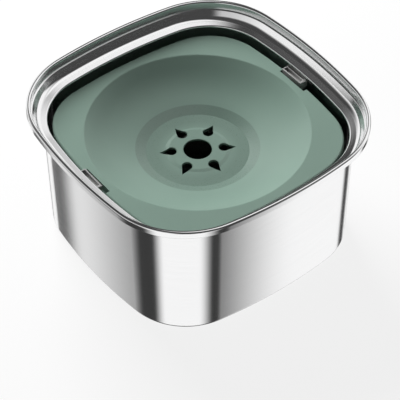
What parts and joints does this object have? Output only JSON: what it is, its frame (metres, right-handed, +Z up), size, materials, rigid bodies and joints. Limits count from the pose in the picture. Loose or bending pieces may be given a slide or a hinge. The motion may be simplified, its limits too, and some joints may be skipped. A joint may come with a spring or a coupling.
{
  "type": "floating-disc dog water bowl",
  "caption": "Square drawn-steel dog bowl with a rolled rim; a floating plastic disc with a dish, slots and a centre hole meters the water, and sliding latches hold it in.",
  "frame": {"origin": "on the floor, under the middle of the bowl", "axes": "+Z up; +X towards the side with latch_right, +Y along that side towards the latch's closed end"},
  "size_m": [0.25, 0.25, 0.129],
  "materials": {
    "steel": "satin stainless sheet, brushed round the bowl",
    "pad": "matte non-slip pad",
    "float": "satin sage-green moulding",
    "latch": "satin grey moulding"
  },
  "bodies": {
    "bowl": {"steel_bowl": "steel", "foot_1": "pad", "foot_2": "pad", "foot_3": "pad", "foot_4": "pad"},
    "float": {"float_deck": "float", "float_hull": "float"},
    "latch_right": {"latch_right": "latch"},
    "latch_left": {"latch_left": "latch"}
  },
  "joints": [
    {"name": "float_rise", "type": "slide", "parent": "bowl", "child": "float", "axis": [0, 0, 1], "range_m": [-0.0705, 0], "stiffness_N_per_m": 53, "springref_m": 0.0696},
    {"name": "latch_right_slide", "type": "slide", "parent": "float", "child": "latch_right", "axis": [-1, 0, 0], "range_m": [0, 0.0019]},
    {"name": "latch_left_slide", "type": "slide", "parent": "float", "child": "latch_left", "axis": [1, 0, 0], "range_m": [0, 0.0019]}
  ]
}
